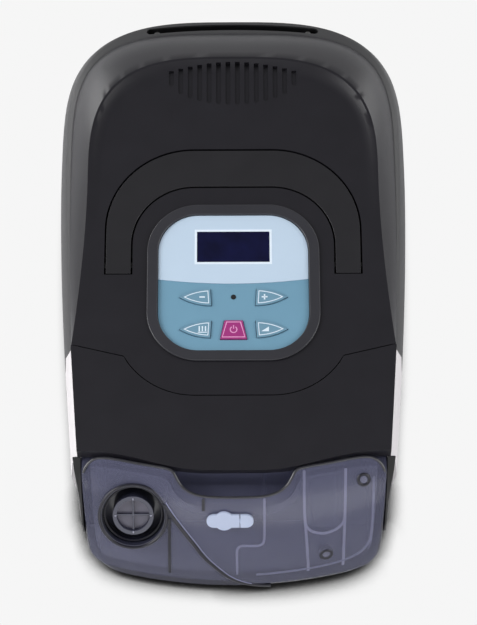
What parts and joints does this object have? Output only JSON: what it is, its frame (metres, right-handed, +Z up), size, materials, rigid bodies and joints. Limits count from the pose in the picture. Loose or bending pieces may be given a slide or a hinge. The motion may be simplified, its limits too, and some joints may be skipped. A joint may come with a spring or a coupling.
{
  "type": "cpap machine",
  "caption": "Breathing-therapy blower with a carry handle, a key panel and a docked heated humidifier whose clear smoke-tinted water chamber draws out forward.",
  "frame": {"origin": "middle of the whole machine's footprint, on the surface it stands on", "axes": "+X to the right of someone facing the panel, +Y to the rear, away from the water chamber, +Z up"},
  "size_m": [0.198, 0.3214, 0.112],
  "materials": {
    "shell": "fine textured dark grey moulding",
    "cover": "smooth near-black moulding, satin on the bevels",
    "side": "smooth pale grey moulding",
    "black": "black moulding",
    "foot": "soft black rubber",
    "bezel": "semi-gloss dark grey",
    "panel_blue": "smooth mid blue",
    "panel_light": "smooth pale blue film",
    "window": "dark glossy window",
    "key_blue": "smooth mid blue",
    "key_pink": "smooth magenta",
    "silicone": "pale silicone rubber",
    "board": "green circuit board",
    "module": "dark frame of the display",
    "steel": "plain steel",
    "metal": "bare aluminium",
    "copper": "copper-coloured windings",
    "white": "off-white moulding",
    "grey": "mid grey moulding",
    "mount_rubber": "soft orange rubber",
    "filter": "pale fibre pad",
    "contact": "gold-coloured contacts",
    "card": "dark blue card",
    "insulator": "pale heat-proof pad",
    "smoke": "clear smoke-tinted moulding with a blue cast",
    "smoke_dark": "clear smoke-tinted moulding, darker",
    "stopper": "soft pale blue rubber"
  },
  "bodies": {
    "flow_generator": {"lower_shell": "shell", "top_cover": "cover", "rear_slot_liner": "black", "slot_screws": "steel", "unit_feet": "foot", "chassis": "grey", "case_screws": "steel", "blower_base": "white", "blower_lid": "white", "blower_mounts": "mount_rubber", "motor_stator": "copper", "motor_bearings": "steel", "outlet_duct": "grey", "muffler_box": "grey", "filter_frame": "grey", "air_filter": "filter", "power_supply": "board", "power_inlet": "black", "main_board": "board", "card_socket": "metal", "dock_socket": "black", "handle_pins": "steel", "panel_bezel": "bezel", "panel_plate": "panel_blue", "panel_film": "panel_light", "display_window": "window", "display_module": "module", "status_lens": "black", "key_mat": "silicone", "key_board": "board"},
    "handle": {"handle": "cover"},
    "key_minus": {"key_minus": "key_blue"},
    "key_plus": {"key_plus": "key_blue"},
    "key_humidity": {"key_humidity": "key_blue"},
    "key_power": {"key_power": "key_pink"},
    "key_ramp": {"key_ramp": "key_blue"},
    "rotor": {"impeller": "white", "motor_shaft": "steel"},
    "filter_cover": {"filter_cover": "grey"},
    "data_card": {"data_card": "card"},
    "dock": {"dock_base": "black", "dock_cover": "cover", "dock_side_shells": "side", "heater_plate": "metal", "heater_insulator": "insulator", "dock_duct": "grey", "dock_plug": "contact", "dock_feet": "foot"},
    "chamber": {"chamber_cover": "smoke", "chamber_tub": "smoke_dark", "chamber_gasket": "silicone", "chamber_plate": "metal", "inlet_channel": "smoke", "outlet_port": "smoke_dark", "chamber_bosses": "smoke_dark", "chamber_partition": "smoke", "stopper_anchor": "stopper"},
    "stopper": {"fill_stopper": "stopper"}
  },
  "joints": [
    {"name": "handle_swing", "type": "hinge", "parent": "flow_generator", "child": "handle", "pos_m": [0, -0.00468, 0.08692], "axis": [1, 0, 0], "range_deg": [0, 100]},
    {"name": "key_minus_press", "type": "slide", "parent": "flow_generator", "child": "key_minus", "axis": [0, 0.1392, -0.9903], "range_m": [0, 0.0008], "stiffness_N_per_m": 400},
    {"name": "key_plus_press", "type": "slide", "parent": "flow_generator", "child": "key_plus", "axis": [0, 0.1392, -0.9903], "range_m": [0, 0.0008], "stiffness_N_per_m": 400},
    {"name": "key_humidity_press", "type": "slide", "parent": "flow_generator", "child": "key_humidity", "axis": [0, 0.1392, -0.9903], "range_m": [0, 0.0008], "stiffness_N_per_m": 400},
    {"name": "key_power_press", "type": "slide", "parent": "flow_generator", "child": "key_power", "axis": [0, 0.1392, -0.9903], "range_m": [0, 0.0008], "stiffness_N_per_m": 400},
    {"name": "key_ramp_press", "type": "slide", "parent": "flow_generator", "child": "key_ramp", "axis": [0, 0.1392, -0.9903], "range_m": [0, 0.0008], "stiffness_N_per_m": 400},
    {"name": "rotor_spin", "type": "hinge", "parent": "flow_generator", "child": "rotor", "pos_m": [0.012, 0.0515, 0.03], "axis": [0, 0, 1], "continuous": true},
    {"name": "filter_cover_slide", "type": "slide", "parent": "flow_generator", "child": "filter_cover", "axis": [0, 1, 0], "range_m": [0, 0.02]},
    {"name": "data_card_slide", "type": "slide", "parent": "flow_generator", "child": "data_card", "axis": [1, 0, 0], "range_m": [0, 0.03]},
    {"name": "dock_slide", "type": "slide", "parent": "flow_generator", "child": "dock", "axis": [0, -1, 0], "range_m": [0, 0.06]},
    {"name": "chamber_slide", "type": "slide", "parent": "dock", "child": "chamber", "axis": [0, -1, 0], "range_m": [0, 0.11]},
    {"name": "stopper_swing", "type": "hinge", "parent": "chamber", "child": "stopper", "pos_m": [0.0032, -0.14464, 0.05489], "axis": [0, 0.6512, 0.7589], "range_deg": [0, 110]}
  ]
}
